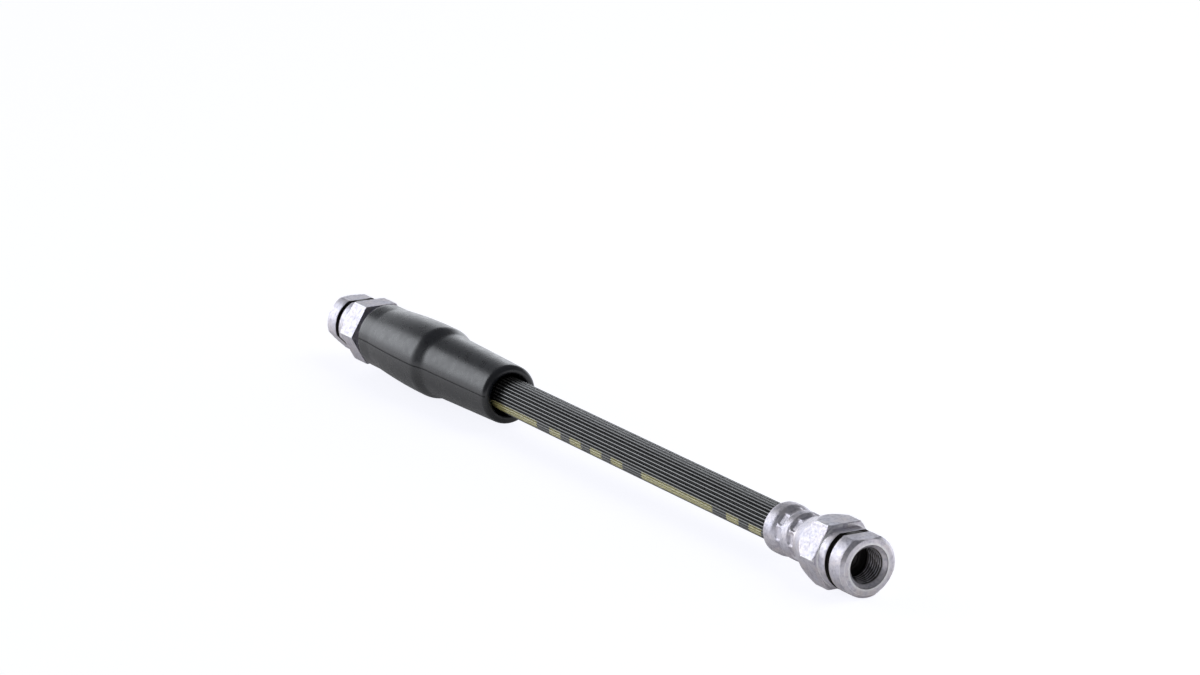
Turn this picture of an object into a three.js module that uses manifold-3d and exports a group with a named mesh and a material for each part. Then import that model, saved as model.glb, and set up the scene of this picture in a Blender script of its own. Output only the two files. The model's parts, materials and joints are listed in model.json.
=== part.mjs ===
// A hydraulic brake hose of a car: a ribbed rubber hose on two fabric braids, a steel end
// fitting crimped on each end and a moulded rubber sleeve over the far one.
// Millimetres, +Z up. The hose lies along X with its near end at +X, resting on the ground
// at Z = 0 with the middle of its outer box at X = Y = 0.

import * as THREE from 'three';
import { mergeVertices } from 'three/addons/utils/BufferGeometryUtils.js';
import Module from 'manifold-3d';

const wasm = await Module();
wasm.setup();

// The whole assembly
const ASSEMBLY_LENGTH = 277; // end face to end face
const TURN_FACETS = 36; // flats round a turned steel piece
const NIPPLE_FACETS = 24;
const SLEEVE_FACETS = 40;
const LAYER_FACETS = 32; // flats round the smooth layers of the hose
const SLIP = 0.03; // radial room between a piece and the bore that it sits in
const TOUCH_GAP = 0.3; // axial room where a cut end stands against a floor

// The hose, from the outside in
const HOSE_RADIUS = 5.1; // over the ribs
const RIB_COUNT = 32;
const RIB_DEPTH = 0.4;
const RIB_TOP_SHARE = 0.36; // share of the pitch that the rounded top takes
const RIB_TOP_DROP = 0.18; // share of the depth that it comes down at its sides
const RIB_FLOOR_SHARE = 0.24; // share of the pitch that the groove's floor takes
const COVER_INSIDE_RADIUS = 3.9;
const OUTER_BRAID_WALL = 0.42;
const CUSHION_WALL = 0.3;
const INNER_BRAID_WALL = 0.42;
const HOSE_BORE_RADIUS = 1.65;

// The port and the nose of a fitting, measured from its end face
const MOUTH_RADIUS = 5.9;
const MOUTH_DEPTH = 0.3;
const THREAD_BORE_RADIUS = 4.5; // the crests of an M10 x 1 thread
const THREAD_END = 7.8;
const RELIEF_RADIUS = 5.1; // of the groove that the thread runs out in
const PORT_DEPTH = 9.4;
const SEAT_POCKET_RADIUS = 3;
const SEAT_POCKET_DEPTH = 1.5;
const NOSE_RADIUS = 8.3;
const NOSE_CHAMFER = 0.95;
const NOSE_LENGTH = 5.9;
const CLIP_GROOVE_WIDTH = 1.95;
const CLIP_GROOVE_DEPTH = 0.9;
const KEY_FLAT_DISTANCE = 7.3; // axis to each of the flats on the nose
const KEY_FLAT_ANGLES = [90, -135]; // degrees round the axis, 90 is up

// The hexagon
const HEX_ACROSS_FLATS = 17;
const HEX_START = 11.2;
const HEX_CHAMFER = 0.45;
const BAR_CLEARANCE = 0.1; // of the turned outline outside the bar's corners
const NEAR_HEX_LENGTH = 5.4; // to where the turned cone first cuts its corners
const NEAR_CONE_END = 25.4;
const CONE_FILLET = 1.6; // from where the cone eases off to its end
const FAR_HEX_LENGTH = 7.4; // cut off square behind
const FAR_NECK_RADIUS = 6.8;

// The crimped shell
const SHELL_END = 39.6; // from the end face to the rim that the hose comes out of
const SHELL_BORE_RADIUS = 5.16;
const SHELL_FLOOR = 19.9;
const RIM_RADIUS = 6.95;
const RIM_ROUNDING = 0.9;
const RIM_BAND_LENGTH = 4.6; // the part that the dies leave alone
const RIM_SHOULDER_HEIGHT = 0.28;
const RIM_SHOULDER_LENGTH = 1.3;
const FLARE_LENGTH = 3;
const FLARE_RADIUS = 5.75;
const VALLEY_RADIUS = 6.42; // between the prints of the jaws
const RIDGE_RADIUS = 6.6;
const CRIMP_LENGTH = 2.7; // of one row of prints
const CRIMP_SLOPE = 0.55;
const CRIMP_ROWS = [
  { centre: 33.1, printDistance: 6.02 },
  { centre: 27.1, printDistance: 5.85 },
];
const JAW_COUNT = 10;
const FIRST_JAW_ANGLE = 80;
const PRINT_WIDTH = 3.25;
const PRINT_LENGTH = 2.5;
const PRINT_CORNER = 0.95;

// The nipple inside the hose
const NIPPLE_BORE_RADIUS = 1;
const NIPPLE_END = 37.4;
const NIPPLE_TIP_CHAMFER = 0.35;
const SEAT_RADIUS = 2.4; // of the hollow cone that the pipe's flare closes on
const SEAT_DEPTH = 0.85;

// The rubber sleeve, measured from its far end
const SLEEVE_START = 21.5; // from the far end face
const SLEEVE_LENGTH = 72.9;
const SLEEVE_END_RADIUS = 9.3;
const SLEEVE_END_ROUNDING = 0.5;
const SLEEVE_STRAIGHT = 6;
const SLEEVE_SWELL_BEND = 19.5; // where the swelling's two slopes would meet
const SLEEVE_CREST_START = 29.9;
const SLEEVE_STEP_RADIUS = 10.4;
const SLEEVE_STEP_START = 34;
const SLEEVE_STEP_LENGTH = 4.2;
const SLEEVE_STEP_ROUNDING = 1.1;
const SLEEVE_WAIST_RADIUS = 9.2;
const SLEEVE_MOUTH_RADIUS = 8.4;
const SLEEVE_LIP_ROUNDING = 1.7; // outside
const SLEEVE_LIP_INNER_ROUNDING = 0.8;
const SLEEVE_SHELL_BORE_RADIUS = 7.02;
const SLEEVE_SHELL_BORE_LENGTH = 20; // past the rim of the shell
const SLEEVE_BORE_TAPER = 4;
const SLEEVE_MOUTH_BORE_RADIUS = 6;

const COLOURS = {
  cover: { color: 0x2b2b29, roughness: 0.55, metalness: 0 },
  braid: { color: 0xc9c2ae, roughness: 0.9, metalness: 0 },
  cushion: { color: 0x34322f, roughness: 0.7, metalness: 0 },
  tube: { color: 0x1d1d1e, roughness: 0.6, metalness: 0 },
  steel: { color: 0xc4c3cc, roughness: 0.3, metalness: 0.9 },
  sleeve: { color: 0x232427, roughness: 0.42, metalness: 0 },
};

const radians = THREE.MathUtils.degToRad;

// A solid from any closed geometry, turned right side out.
function solid(geometry) {
  const bare = new THREE.BufferGeometry();
  bare.setAttribute('position', geometry.getAttribute('position').clone());
  if (geometry.index) bare.setIndex(geometry.index.clone());
  const merged = mergeVertices(bare, 1e-4);
  const corner = merged.getAttribute('position');
  const index = Array.from(merged.index.array);
  const point = [0, 1, 2].map(() => new THREE.Vector3());
  const triangles = [];
  let volume = 0;
  for (let i = 0; i < index.length; i += 3) {
    const ids = index.slice(i, i + 3);
    if (ids[0] === ids[1] || ids[1] === ids[2] || ids[2] === ids[0]) continue;
    ids.forEach((id, k) => point[k].fromBufferAttribute(corner, id));
    volume += point[0].dot(point[1].clone().cross(point[2]));
    triangles.push(ids);
  }
  if (volume < 0) triangles.forEach((ids) => ids.reverse());
  const vertProperties = new Float32Array(corner.array);
  const triVerts = new Uint32Array(triangles.flat());
  return new wasm.Manifold(new wasm.Mesh({ numProp: 3, vertProperties, triVerts }));
}

function geometryOf(manifold) {
  const mesh = manifold.getMesh();
  const geometry = new THREE.BufferGeometry();
  geometry.setAttribute('position', new THREE.BufferAttribute(mesh.vertProperties, 3));
  geometry.setIndex(new THREE.BufferAttribute(mesh.triVerts, 1));
  return geometry;
}

// A quarter round between two corners of a profile, bulging towards the given corner.
function quarterRound(from, corner, to, steps = 4) {
  const curve = new THREE.QuadraticBezierCurve(
    new THREE.Vector2(...from),
    new THREE.Vector2(...corner),
    new THREE.Vector2(...to),
  );
  return curve.getPoints(steps).map((p) => [p.x, p.y]);
}

// A body turned round the X axis from a closed profile of [station, radius] corners.
function turned(profile, facets) {
  const points = [...profile, profile[0]].map(([x, r]) => new THREE.Vector2(r, x));
  return new THREE.LatheGeometry(points, facets).rotateZ(-Math.PI / 2);
}

// A straight bar along X from one station to the other with the given outline and hole,
// both lists of [y, z].
function bar(outline, start, end, hole) {
  const shape = new THREE.Shape(outline.map(([y, z]) => new THREE.Vector2(y, z)));
  if (hole) shape.holes.push(new THREE.Path(hole.map(([y, z]) => new THREE.Vector2(y, z))));
  const geometry = new THREE.ExtrudeGeometry(shape, { depth: end - start, bevelEnabled: false });
  const toX = new THREE.Matrix4().set(0, 0, 1, start, 1, 0, 0, 0, 0, 1, 0, 0, 0, 0, 0, 1);
  return geometry.applyMatrix4(toX);
}

function ring(radius, count, firstAngle = 0) {
  return Array.from({ length: count }, (_, i) => {
    const angle = firstAngle + (i / count) * 2 * Math.PI;
    return [radius * Math.cos(angle), radius * Math.sin(angle)];
  });
}

// The hexagon bar that a fitting is turned from, with a flat on top.
function hexagonBar(start, end) {
  const cornerRadius = HEX_ACROSS_FLATS / 2 / Math.cos(Math.PI / 6);
  return solid(bar(ring(cornerRadius, 6), start, end));
}

// One milled flat of the nose: everything outside it, as far as the hexagon's face.
function flatCutter(angle) {
  const width = 3 * NOSE_RADIUS;
  const height = NOSE_RADIUS;
  const length = HEX_START + 1;
  const block = new THREE.BoxGeometry(length, width, height);
  block.translate(HEX_START - length / 2, 0, KEY_FLAT_DISTANCE + height / 2);
  return solid(block.rotateX(radians(angle - 90)));
}

// One jaw of the crimping die, a round-cornered block pressed in as far as its row says.
function jaw(row, angle) {
  const half = { x: PRINT_LENGTH / 2, y: PRINT_WIDTH / 2 };
  const shape = new THREE.Shape();
  const corners = [
    [half.x - PRINT_CORNER, half.y - PRINT_CORNER, 0],
    [-half.x + PRINT_CORNER, half.y - PRINT_CORNER, 90],
    [-half.x + PRINT_CORNER, -half.y + PRINT_CORNER, 180],
    [half.x - PRINT_CORNER, -half.y + PRINT_CORNER, 270],
  ];
  for (const [x, y, turn] of corners) {
    shape.absarc(x, y, PRINT_CORNER, radians(turn), radians(turn + 90));
  }
  const depth = RIM_RADIUS;
  const block = new THREE.ExtrudeGeometry(shape, { depth, bevelEnabled: false, curveSegments: 2 });
  block.translate(row.centre, 0, row.printDistance);
  return solid(block.rotateX(radians(angle - 90)));
}

// The turned outline behind the hexagon. The near fitting runs down in a cone, and the far
// one is cut off square and steps down to a neck.
const barCorner = HEX_ACROSS_FLATS / Math.sqrt(3);
const outsideBar = barCorner + BAR_CLEARANCE;
const coneStart = HEX_START + NEAR_HEX_LENGTH;
const coneSlope = (outsideBar - VALLEY_RADIUS) / (NEAR_CONE_END - coneStart);
const crimpStart = CRIMP_ROWS[1].centre - CRIMP_LENGTH / 2;
const BACKS = {
  near: [
    [coneStart, outsideBar],
    ...quarterRound(
      [NEAR_CONE_END - CONE_FILLET, VALLEY_RADIUS + coneSlope * CONE_FILLET],
      [NEAR_CONE_END, VALLEY_RADIUS],
      [NEAR_CONE_END + CONE_FILLET / 4, VALLEY_RADIUS],
      3,
    ),
  ],
  far: [
    [HEX_START + FAR_HEX_LENGTH, outsideBar],
    [HEX_START + FAR_HEX_LENGTH, FAR_NECK_RADIUS],
    [crimpStart - CRIMP_SLOPE, FAR_NECK_RADIUS],
    [crimpStart, VALLEY_RADIUS],
  ],
};

// An end fitting along +X from its end face at station 0: nose, clip groove, neck, hexagon
// and shell are one turned bar, bored for the pipe's thread and for the hose.
function fittingBody(back) {
  const grooveEnd = NOSE_LENGTH + CLIP_GROOVE_WIDTH;
  const grooveRadius = NOSE_RADIUS - CLIP_GROOVE_DEPTH;
  const [rimRow, backRow] = CRIMP_ROWS;
  const bandStart = SHELL_END - RIM_BAND_LENGTH;
  const portChamfer = MOUTH_RADIUS - THREAD_BORE_RADIUS;
  const reliefChamfer = RELIEF_RADIUS - THREAD_BORE_RADIUS;
  const profile = [
    [0, NOSE_RADIUS - NOSE_CHAMFER],
    [NOSE_CHAMFER, NOSE_RADIUS],
    [NOSE_LENGTH, NOSE_RADIUS],
    [NOSE_LENGTH, grooveRadius],
    [grooveEnd, grooveRadius],
    [grooveEnd, NOSE_RADIUS],
    [HEX_START, NOSE_RADIUS],
    [HEX_START, barCorner - HEX_CHAMFER],
    [HEX_START + HEX_CHAMFER, outsideBar],
    ...BACKS[back],
    [backRow.centre + CRIMP_LENGTH / 2, VALLEY_RADIUS],
    [backRow.centre + CRIMP_LENGTH / 2 + CRIMP_SLOPE, RIDGE_RADIUS],
    [rimRow.centre - CRIMP_LENGTH / 2 - CRIMP_SLOPE, RIDGE_RADIUS],
    [rimRow.centre - CRIMP_LENGTH / 2, VALLEY_RADIUS],
    [rimRow.centre + CRIMP_LENGTH / 2, VALLEY_RADIUS],
    ...quarterRound(
      [bandStart, RIM_RADIUS - RIM_SHOULDER_HEIGHT],
      [bandStart + RIM_SHOULDER_LENGTH / 2, RIM_RADIUS],
      [bandStart + RIM_SHOULDER_LENGTH, RIM_RADIUS],
      2,
    ),
    ...quarterRound(
      [SHELL_END - RIM_ROUNDING, RIM_RADIUS],
      [SHELL_END, RIM_RADIUS],
      [SHELL_END, RIM_RADIUS - RIM_ROUNDING],
      3,
    ),
    ...quarterRound(
      [SHELL_END, FLARE_RADIUS],
      [SHELL_END - FLARE_LENGTH / 2, SHELL_BORE_RADIUS],
      [SHELL_END - FLARE_LENGTH, SHELL_BORE_RADIUS],
      2,
    ),
    [SHELL_FLOOR, SHELL_BORE_RADIUS],
    [SHELL_FLOOR, HOSE_BORE_RADIUS],
    [PORT_DEPTH + SEAT_POCKET_DEPTH, HOSE_BORE_RADIUS],
    [PORT_DEPTH + SEAT_POCKET_DEPTH, SEAT_POCKET_RADIUS],
    [PORT_DEPTH, SEAT_POCKET_RADIUS],
    [PORT_DEPTH, RELIEF_RADIUS],
    [THREAD_END + reliefChamfer, RELIEF_RADIUS],
    [THREAD_END, THREAD_BORE_RADIUS],
    [MOUTH_DEPTH + portChamfer, THREAD_BORE_RADIUS],
    [MOUTH_DEPTH, MOUTH_RADIUS],
    [0, MOUTH_RADIUS],
  ];
  let body = solid(turned(profile, TURN_FACETS)).intersect(hexagonBar(-1, SHELL_END + 1));
  for (const angle of KEY_FLAT_ANGLES) body = body.subtract(flatCutter(angle));
  for (const row of CRIMP_ROWS) {
    for (let i = 0; i < JAW_COUNT; i += 1) {
      body = body.subtract(jaw(row, FIRST_JAW_ANGLE + (i / JAW_COUNT) * 360));
    }
  }
  return geometryOf(body);
}

// The nipple pushed in from the port: its head lies flush with the port's floor and has the
// hollow cone that the pipe's flare closes on, and its tube runs through the shell inside the
// hose.
function nipple() {
  const headRadius = SEAT_POCKET_RADIUS - SLIP;
  const tubeRadius = HOSE_BORE_RADIUS - SLIP;
  const headBack = PORT_DEPTH + SEAT_POCKET_DEPTH - SLIP;
  return turned(
    [
      [PORT_DEPTH, SEAT_RADIUS],
      [PORT_DEPTH, headRadius],
      [headBack, headRadius],
      [headBack, tubeRadius],
      [NIPPLE_END - NIPPLE_TIP_CHAMFER, tubeRadius],
      [NIPPLE_END, tubeRadius - NIPPLE_TIP_CHAMFER],
      [NIPPLE_END, NIPPLE_BORE_RADIUS],
      [PORT_DEPTH + SEAT_DEPTH, NIPPLE_BORE_RADIUS],
    ],
    NIPPLE_FACETS,
  );
}

// The sleeve along +X from its end beside the far hexagon: a swelling grip, a step, and a
// tapering skirt whose thick lip leaves a narrow gap round the hose.
function sleeve() {
  const stepEnd = SLEEVE_STEP_START + SLEEVE_STEP_LENGTH;
  const stepSlope = (SLEEVE_STEP_RADIUS - SLEEVE_WAIST_RADIUS) / SLEEVE_STEP_LENGTH;
  const taper = (SLEEVE_WAIST_RADIUS - SLEEVE_MOUTH_RADIUS) / (SLEEVE_LENGTH - stepEnd);
  const rounding = SLEEVE_STEP_ROUNDING;
  const lipFace = SLEEVE_MOUTH_BORE_RADIUS + SLEEVE_LIP_INNER_ROUNDING;
  return turned(
    [
      ...quarterRound(
        [0, SLEEVE_END_RADIUS - SLEEVE_END_ROUNDING],
        [0, SLEEVE_END_RADIUS],
        [SLEEVE_END_ROUNDING, SLEEVE_END_RADIUS],
        2,
      ),
      ...quarterRound(
        [SLEEVE_STRAIGHT, SLEEVE_END_RADIUS],
        [SLEEVE_SWELL_BEND, SLEEVE_STEP_RADIUS],
        [SLEEVE_CREST_START, SLEEVE_STEP_RADIUS],
      ),
      ...quarterRound(
        [SLEEVE_STEP_START - rounding, SLEEVE_STEP_RADIUS],
        [SLEEVE_STEP_START, SLEEVE_STEP_RADIUS],
        [SLEEVE_STEP_START + rounding, SLEEVE_STEP_RADIUS - stepSlope * rounding],
        3,
      ),
      ...quarterRound(
        [stepEnd - rounding, SLEEVE_WAIST_RADIUS + stepSlope * rounding],
        [stepEnd, SLEEVE_WAIST_RADIUS],
        [stepEnd + rounding, SLEEVE_WAIST_RADIUS - taper * rounding],
        3,
      ),
      ...quarterRound(
        [SLEEVE_LENGTH - SLEEVE_LIP_ROUNDING, SLEEVE_MOUTH_RADIUS + taper * SLEEVE_LIP_ROUNDING],
        [SLEEVE_LENGTH, SLEEVE_MOUTH_RADIUS],
        [SLEEVE_LENGTH, lipFace],
      ),
      ...quarterRound(
        [SLEEVE_LENGTH, lipFace],
        [SLEEVE_LENGTH, SLEEVE_MOUTH_BORE_RADIUS],
        [SLEEVE_LENGTH - SLEEVE_LIP_INNER_ROUNDING, SLEEVE_MOUTH_BORE_RADIUS],
        2,
      ).slice(1),
      [SLEEVE_SHELL_BORE_LENGTH + SLEEVE_BORE_TAPER, SLEEVE_MOUTH_BORE_RADIUS],
      [SLEEVE_SHELL_BORE_LENGTH, SLEEVE_SHELL_BORE_RADIUS],
      [0, SLEEVE_SHELL_BORE_RADIUS],
    ],
    SLEEVE_FACETS,
  );
}

// The ribbed section of the cover: rounded tops and narrow grooves.
function ribbedOutline() {
  const pitch = (2 * Math.PI) / RIB_COUNT;
  const floorRadius = HOSE_RADIUS - RIB_DEPTH;
  const shoulderRadius = HOSE_RADIUS - RIB_DEPTH * RIB_TOP_DROP;
  const corners = [
    [-RIB_TOP_SHARE / 2, shoulderRadius],
    [0, HOSE_RADIUS],
    [RIB_TOP_SHARE / 2, shoulderRadius],
    [0.5 - RIB_FLOOR_SHARE / 2, floorRadius],
    [0.5 + RIB_FLOOR_SHARE / 2, floorRadius],
  ];
  const outline = [];
  for (let i = 0; i < RIB_COUNT; i += 1) {
    for (const [share, radius] of corners) {
      const angle = (i + share) * pitch;
      outline.push([radius * Math.cos(angle), radius * Math.sin(angle)]);
    }
  }
  return outline;
}

function layer(outerRadius, innerRadius, start, end) {
  return turned(
    [
      [start, outerRadius],
      [end, outerRadius],
      [end, innerRadius],
      [start, innerRadius],
    ],
    LAYER_FACETS,
  );
}

function named(name, geometry, look) {
  const mesh = new THREE.Mesh(geometry, new THREE.MeshStandardMaterial(look));
  mesh.name = name;
  return mesh;
}

// Hose layers run between the floors of the two shells.
const hoseHalf = ASSEMBLY_LENGTH / 2 - SHELL_FLOOR - TOUCH_GAP;
const braidOuter = COVER_INSIDE_RADIUS - SLIP;
const cushionOuter = braidOuter - OUTER_BRAID_WALL - SLIP;
const innerBraidOuter = cushionOuter - CUSHION_WALL - SLIP;
const tubeOuter = innerBraidOuter - INNER_BRAID_WALL - SLIP;

const hose = new THREE.Group();
hose.add(
  named(
    'hose_cover',
    bar(ribbedOutline(), -hoseHalf, hoseHalf, ring(COVER_INSIDE_RADIUS, LAYER_FACETS)),
    COLOURS.cover,
  ),
  named(
    'outer_braid',
    layer(braidOuter, braidOuter - OUTER_BRAID_WALL, -hoseHalf, hoseHalf),
    COLOURS.braid,
  ),
  named(
    'cushion_rubber',
    layer(cushionOuter, cushionOuter - CUSHION_WALL, -hoseHalf, hoseHalf),
    COLOURS.cushion,
  ),
  named(
    'inner_braid',
    layer(innerBraidOuter, innerBraidOuter - INNER_BRAID_WALL, -hoseHalf, hoseHalf),
    COLOURS.braid,
  ),
  named('inner_tube', layer(tubeOuter, HOSE_BORE_RADIUS, -hoseHalf, hoseHalf), COLOURS.tube),
);

// Each end's group has its end face at its origin and runs into the hose along +X.
const farEnd = new THREE.Group();
farEnd.position.x = -ASSEMBLY_LENGTH / 2;
farEnd.add(
  named('far_fitting_body', fittingBody('far'), COLOURS.steel),
  named('far_nipple', nipple(), COLOURS.steel),
);
const sleeveMesh = named('rubber_sleeve', sleeve(), COLOURS.sleeve);
sleeveMesh.position.x = SLEEVE_START;
farEnd.add(sleeveMesh);

const nearEnd = new THREE.Group();
nearEnd.position.x = ASSEMBLY_LENGTH / 2;
nearEnd.rotation.z = Math.PI;
nearEnd.add(
  named('near_fitting_body', fittingBody('near'), COLOURS.steel),
  named('near_nipple', nipple(), COLOURS.steel),
);

// At rest the sleeve's swelling and the near hexagon's lower flat touch the ground, so the
// axis comes down towards the near end by the difference of their radii.
const hexApothem = HEX_ACROSS_FLATS / 2;
const swellStation = -ASSEMBLY_LENGTH / 2 + SLEEVE_START + SLEEVE_STEP_START - SLEEVE_STEP_ROUNDING;
const hexStation = ASSEMBLY_LENGTH / 2 - HEX_START;
const run = hexStation - swellStation;
const tilt = Math.asin((SLEEVE_STEP_RADIUS - hexApothem) / run);
const restHeight = SLEEVE_STEP_RADIUS * Math.cos(tilt) + swellStation * Math.sin(tilt);

const assembly = new THREE.Group();
assembly.add(hose, farEnd, nearEnd);
assembly.rotation.y = tilt;
assembly.position.z = restHeight;

export default assembly;
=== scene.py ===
import json
import math

import bmesh
import bpy
import numpy as np
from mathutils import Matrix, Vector


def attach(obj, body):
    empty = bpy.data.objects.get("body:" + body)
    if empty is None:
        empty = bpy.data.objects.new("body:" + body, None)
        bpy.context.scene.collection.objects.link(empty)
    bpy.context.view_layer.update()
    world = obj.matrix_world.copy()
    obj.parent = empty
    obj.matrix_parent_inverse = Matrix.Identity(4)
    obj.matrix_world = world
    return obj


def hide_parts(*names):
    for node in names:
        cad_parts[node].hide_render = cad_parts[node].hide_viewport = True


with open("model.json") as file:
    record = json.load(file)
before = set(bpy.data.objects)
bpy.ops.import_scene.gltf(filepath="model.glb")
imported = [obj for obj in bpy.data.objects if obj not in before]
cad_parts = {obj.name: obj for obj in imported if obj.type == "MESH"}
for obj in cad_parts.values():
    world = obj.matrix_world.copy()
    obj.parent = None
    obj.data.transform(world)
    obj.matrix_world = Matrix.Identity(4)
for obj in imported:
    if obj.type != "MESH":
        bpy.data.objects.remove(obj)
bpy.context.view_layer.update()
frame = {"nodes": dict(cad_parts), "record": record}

# The camera stands where the photograph was taken from: a long lens a little above the
# object, which looks down the hose from its bare end.
CAMERA_PLACE = (1.2418, -0.7252, 0.4128)
CAMERA_AZIMUTH = 59.61  # degrees, 0 looks along +Y
CAMERA_ELEVATION = 14.66  # degrees that it looks down
CAMERA_LENS = 165.1  # millimetres, as is the sensor
SENSOR_WIDTH = 36

camera_data = bpy.data.cameras.new("photo_camera")
camera_data.lens = CAMERA_LENS
camera_data.sensor_width = SENSOR_WIDTH
camera = bpy.data.objects.new("photo_camera", camera_data)
camera.location = CAMERA_PLACE
camera.rotation_euler = (math.radians(90 - CAMERA_ELEVATION), 0, math.radians(CAMERA_AZIMUTH))
bpy.context.scene.collection.objects.link(camera)
bpy.context.scene.camera = camera

# The hose: an outer cover of extruded rubber with fine lengthwise ribs, over two braids. A
# pale stripe is printed along it in dashes, with plain bars between them. It is stiff enough
# to lie straight, and each end is pushed into a fitting's shell up to the shell's floor.
MM = 0.001
mounts = {mount["name"]: mount for mount in frame["record"]["mounts"]}
on_axis = np.array([1, 0, 1])
NEAR_FACE = np.array(mounts["near_end_face"]["pos_m"]) * on_axis
FAR_FACE = np.array(mounts["far_end_face"]["pos_m"]) * on_axis
ASSEMBLY_LENGTH = np.linalg.norm(FAR_FACE - NEAR_FACE) / MM
TO_FAR = (FAR_FACE - NEAR_FACE) / (ASSEMBLY_LENGTH * MM)
SIDE = np.array([0, 1, 0])
UP = np.cross(SIDE, TO_FAR)

HOSE_RADIUS = 5.1
RIB_COUNT = 32
RIB_DEPTH = 0.4
RIB_SAMPLES = 12
COVER_BORE = 3.9
HOSE_START = 20.2  # from an end face to the cut end of the hose
RIM_STATION = 39.6  # where the hose comes out of a shell
HOSE_STATIONS = 60
HOSE_PATH_POINTS = 16
MERGE_BELOW = 2e-6  # metres between two points that become one
SMOOTH_BELOW = 32  # degrees between two faces that shade as one surface
STRIPE_START = 190 / 360  # share of the way round
STRIPE_END = 223 / 360
STRIPE_PERIOD = 92
STRIPE_DASH = 36
STRIPE_OFFSET = 68  # of one dash's near end from the near face
STRIPE_SLANT = -20  # of its ends, along the hose per turn
BAR_PITCH = 11  # of the plain short bars between the dashes
BAR_SHARE = 0.55  # of the pitch that is printed
BAR_SHIFT = 2  # of the bars, along the hose
BARE_AFTER_DASH = 6
BARE_BEFORE_DASH = 4
STRIPE_COLOUR = (0.80, 0.74, 0.33, 1)
COVER_COLOUR = (0.005, 0.005, 0.005, 1)
# lighter colour of the rib tops: partly dust, partly a painted sheen
RIB_DUST_AND_SHEEN_COLOUR = (0.075, 0.073, 0.072, 1)


def around(face, along, station, radius, angle):
    """Points at a station from an end face, a radius from the axis and an angle that turns
    from +Y over the top: face + station * along + radius * (cos * side + sin * up)."""
    station, radius, angle = (a[..., None] for a in np.broadcast_arrays(station, radius, angle))
    across = np.cos(angle) * SIDE + np.sin(angle) * UP
    return face + MM * (station * along + radius * across)


def full_turn(count):
    """Angles in equal steps round the whole turn, from 0."""
    return np.arange(count) / count * 2 * math.pi


def closed_surface(name, points, angles, stations, marks=()):
    """A mesh from a grid of points, rows along a closed profile and columns round the axis,
    joined in both directions, with points that coincide merged. Its UV map holds the share
    of the turn and of the length. marks gives attributes, each one value per point."""
    rows, columns = points.shape[:2]
    i, j = np.meshgrid(np.arange(rows), np.arange(columns), indexing="ij")
    i_next, j_next = (i + 1) % rows, (j + 1) % columns
    corners = [(i, j), (i, j_next), (i_next, j_next), (i_next, j)]
    quads = np.stack([a * columns + b for a, b in corners], axis=-1).reshape(-1, 4)
    turn = np.append(angles, angles[0] + 2 * math.pi) / (2 * math.pi)
    u = np.stack([turn[j], turn[j + 1], turn[j + 1], turn[j]], axis=-1).reshape(-1, 4)
    share = stations / ASSEMBLY_LENGTH
    v = np.stack([share[a] for a, _ in corners], axis=-1).reshape(-1, 4)
    flat = points.reshape(-1, 3)
    a, b, c, d = (flat[quads[:, k]] for k in range(4))
    volume = (a * (np.cross(b, c) + np.cross(c, d))).sum()
    if volume < 0:
        quads, u, v = quads[:, ::-1], u[:, ::-1], v[:, ::-1]
    mesh = bpy.data.meshes.new(name)
    mesh.from_pydata(flat.tolist(), [], quads.tolist())
    mesh.uv_layers.new(name="wrap").data.foreach_set("uv", np.stack([u, v], axis=-1).ravel())
    for mark, values in dict(marks).items():
        attribute = mesh.attributes.new(mark, "FLOAT", "POINT")
        attribute.data.foreach_set("value", np.asarray(values, np.float32).ravel())
    shell = bmesh.new()
    shell.from_mesh(mesh)
    bmesh.ops.remove_doubles(shell, verts=shell.verts, dist=MERGE_BELOW)
    shell.to_mesh(mesh)
    shell.free()
    mesh.shade_smooth()
    mesh.set_sharp_from_angle(angle=math.radians(SMOOTH_BELOW))
    piece = bpy.data.objects.new(name, mesh)
    bpy.context.scene.collection.objects.link(piece)
    return piece


def eased(profile, ease):
    """A closed profile with each corner turned into three points, on the two sides at a
    distance of ease (at most 0.4 of the side) and between them."""
    corner = np.array(profile, float)
    before, after = np.roll(corner, 1, axis=0) - corner, np.roll(corner, -1, axis=0) - corner
    reach = [np.linalg.norm(side, axis=1, keepdims=True) for side in (before, after)]
    ends = [
        corner + side / size * np.minimum(ease, 0.4 * size)
        for side, size in zip((before, after), reach)
    ]
    middle = 0.25 * ends[0] + 0.5 * corner + 0.25 * ends[1]
    return np.stack([ends[0], middle, ends[1]], axis=1).reshape(-1, 2)


def divided(profile, step_at):
    """A closed profile cut so that no side is longer than step_at(station, radius) says."""
    start, end = profile, np.roll(profile, -1, axis=0)
    middle = (start + end) / 2
    size = np.linalg.norm(end - start, axis=1)
    parts = np.maximum(1, np.ceil(size / step_at(middle[:, 0], middle[:, 1])).astype(int))
    which = np.repeat(np.arange(len(profile)), parts)
    share = (np.arange(len(which)) - np.repeat(np.cumsum(parts) - parts, parts)) / parts[which]
    return start[which] + (end - start)[which] * share[:, None]


def node_in(tree, kind, inputs=(), **settings):
    """Adds a shader node, with its settings and with a value or a link for each input."""
    node = tree.nodes.new(kind)
    for key, value in settings.items():
        setattr(node, key, value)
    for key, value in dict(inputs).items():
        if isinstance(value, bpy.types.NodeSocket):
            tree.links.new(value, node.inputs[key])
        else:
            node.inputs[key].default_value = value
    return node


def maths(tree, operation, *values, clamp=False):
    """The result of one operation on values or links."""
    inputs = dict(enumerate(values))
    return node_in(tree, "ShaderNodeMath", inputs, operation=operation, use_clamp=clamp).outputs[0]


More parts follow.
